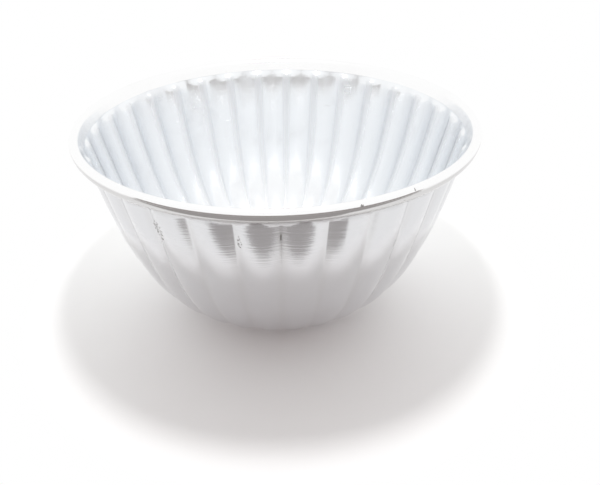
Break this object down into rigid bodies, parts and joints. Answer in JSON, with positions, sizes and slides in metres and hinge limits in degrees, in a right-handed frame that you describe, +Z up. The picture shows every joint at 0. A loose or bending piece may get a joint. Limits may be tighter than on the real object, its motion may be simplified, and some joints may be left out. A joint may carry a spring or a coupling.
{
  "type": "jelly mould",
  "caption": "Round fluted jelly mould pressed from aluminium sheet, with a flat base, a short flared mouth and a rolled rim stiffened by a wire ring.",
  "frame": {"origin": "centre of the flat base's underside, on the surface that the mould stands on", "axes": "+Z up along the mould's axis towards its open mouth; -Y passes through a groove between flutes"},
  "size_m": [0.16, 0.16, 0.082],
  "materials": {
    "sheet_aluminium": "polished and faintly brushed outside, satin inside",
    "wire_steel": "drawn, galvanised"
  },
  "bodies": {
    "root": {"mould_shell": "sheet_aluminium", "rim_wire": "wire_steel"}
  },
  "joints": []
}
